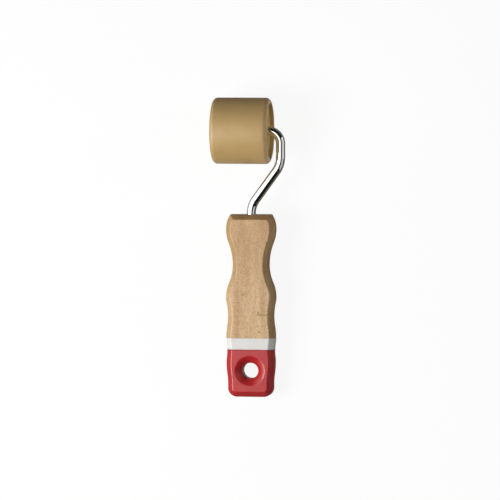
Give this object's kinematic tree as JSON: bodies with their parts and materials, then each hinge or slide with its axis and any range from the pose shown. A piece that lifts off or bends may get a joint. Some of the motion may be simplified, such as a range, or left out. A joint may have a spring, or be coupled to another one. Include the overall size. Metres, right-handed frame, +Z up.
{
  "type": "rubber brayer",
  "caption": "Small hand brayer: a rubber-covered roller turning on a cranked chromed wire frame, with a flat wavy beech handle dipped in lacquer at the butt.",
  "frame": {"origin": "Middle of the footprint of the tool as it lies on a bench on its roller and lower butt edge, at bench height.", "axes": "+Y runs from the butt towards the roller, +X along the roller's axle towards the crank, +Z up off the bench."},
  "size_m": [0.0502, 0.2074, 0.046],
  "materials": {
    "beech": "sanded, thin matt seal",
    "white_lacquer": "semi-gloss dipped lacquer",
    "red_lacquer": "gloss dipped lacquer",
    "chromed_wire": "bright plated",
    "tan_rubber": "satin moulded rubber",
    "core_plastic": "satin moulded plastic",
    "bush_plastic": "satin acetal",
    "plated_steel": "zinc plated"
  },
  "bodies": {
    "hand_frame": {"beech_handle": "beech", "white_lacquer_band": "white_lacquer", "red_lacquer_dip": "red_lacquer", "frame_wire": "chromed_wire", "shoulder_washer": "plated_steel", "cap_washer": "plated_steel", "axle_cap": "plated_steel"},
    "roller": {"rubber_sleeve": "tan_rubber", "roller_core": "core_plastic", "right_axle_bush": "bush_plastic", "left_axle_bush": "bush_plastic"}
  },
  "joints": [
    {"name": "roller_spin", "type": "hinge", "parent": "hand_frame", "child": "roller", "pos_m": [-0.00513, 0.08068, 0.023], "axis": [1, 0, 0], "continuous": true}
  ]
}
